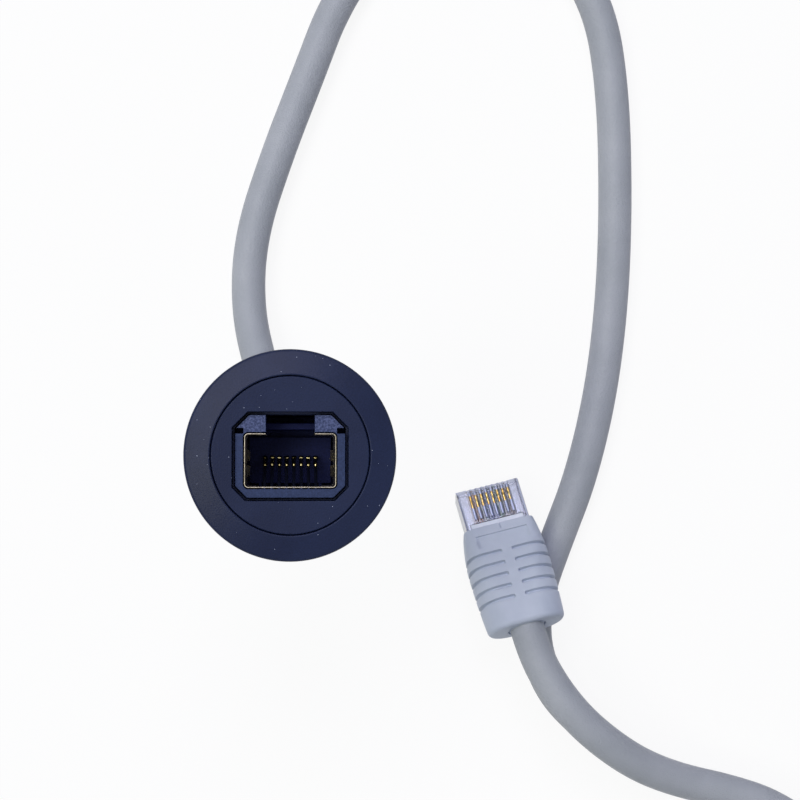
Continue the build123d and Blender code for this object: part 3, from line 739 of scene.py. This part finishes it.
studio = {
    "floorZ": -0.0781,
    "floorSide": 14.0,
    "paperGlow": 0.9,  # how far the paper shines white by itself to the eye
    "worldLevel": 0.2,
    "lampTarget": (0.02, 0, -0.03),
    # name, azimuth and elevation in degrees, distance and size in m, power in W, colour
    "lamps": [
        ("topSoftbox", 98.0, 60.0, 1.6, 0.7, 8.0, "#ebe8ff"),
        ("cornerSoftbox", 146.0, 60.0, 1.6, 0.7, 7.5, "#fafaff"),
        ("leftSoftbox", 194.0, 58.0, 1.6, 0.7, 7.0, "#fbfce8"),
        ("rightFill", -40.0, 50.0, 1.8, 1.2, 1.2, "#eef2ff"),
    ],
}


# 1 where the camera, a mirror or clear plastic looks at the surface
def seenRay(tree):
    path = addNode(tree, "ShaderNodeLightPath").outputs
    either = calc(tree, "MAXIMUM", path["Is Camera Ray"], path["Is Glossy Ray"])
    return calc(tree, "MAXIMUM", either, path["Is Transmission Ray"])


# one shader gives the light, the other is what the eye sees
def blendShaders(tree, share, lit, seen, output):
    mixed = addNode(tree, "ShaderNodeMixShader", {"Fac": share, 1: lit.outputs[0], 2: seen.outputs[0]})
    addNode(tree, output, {"Surface": mixed.outputs[0]})


def makeFloor(spec):
    side, z = spec["floorSide"] / 2, spec["floorZ"]
    mesh = bpy.data.meshes.new("floor")
    corners = [(-side, -side, z), (side, -side, z), (side, side, z), (-side, side, z)]
    mesh.from_pydata(corners, [], [(0, 1, 2, 3)])
    floor = addObject("floor", mesh)
    material = bpy.data.materials.new("whitePaper")
    material.use_nodes = True
    tree = material.node_tree
    tree.nodes.clear()
    paper = addNode(tree, "ShaderNodeBsdfDiffuse", {"Color": linear("#fafafa")})
    glow = addNode(tree, "ShaderNodeEmission", {"Color": linear("#ffffff"), "Strength": 1.0})
    share = calc(tree, "MULTIPLY", seenRay(tree), spec["paperGlow"])
    blendShaders(tree, share, paper, glow, "ShaderNodeOutputMaterial")
    mesh.materials.append(material)


def makeWorld(spec):
    world = bpy.data.worlds.new("studio")
    bpy.context.scene.world = world
    world.use_nodes = True
    tree = world.node_tree
    tree.nodes.clear()
    soft = addNode(tree, "ShaderNodeBackground", {"Color": linear("#e6ecff"), "Strength": spec["worldLevel"]})
    white = addNode(tree, "ShaderNodeBackground", {"Color": linear("#ffffff"), "Strength": 1.0})
    blendShaders(tree, seenRay(tree), soft, white, "ShaderNodeOutputWorld")


# looks from place to target with up on top
def aim(place, target, up=(0, 1, 0)):
    forward = (Vector(target) - Vector(place)).normalized()
    right = forward.cross(Vector(up)).normalized()
    above = right.cross(forward)
    return Matrix((right, above, -forward)).transposed().to_4x4()


def addLamp(target, name, azimuth, elevation, distance, size, power, colour):
    lamp = bpy.data.lights.new(name, "AREA")
    lamp.energy = power
    lamp.shape = "DISK"
    lamp.size = size
    lamp.color = linear(colour)[:3]
    around, up = radians(azimuth), radians(elevation)
    place = target + distance * Vector((cos(up) * cos(around), cos(up) * sin(around), sin(up)))
    holder = addObject(name, lamp)
    holder.matrix_world = Matrix.Translation(place) @ aim(place, target)


makeFloor(studio)
makeWorld(studio)
for lampSpec in studio["lamps"]:
    addLamp(Vector(studio["lampTarget"]), *lampSpec)

cameraView = {"place": (0, 0, 0.212), "target": (0.014758, 0.007449, 0.0026), "lens": 70}
lens = bpy.data.cameras.new("photoView")
lens.lens = cameraView["lens"]
lens.sensor_width = 36
lens.clip_start = 0.01
camera = addObject("photoView", lens)
camera.matrix_world = Matrix.Translation(cameraView["place"]) @ aim(cameraView["place"], cameraView["target"])
bpy.context.scene.camera = camera
bpy.context.scene.view_settings.view_transform = "Standard"
print("studio set")
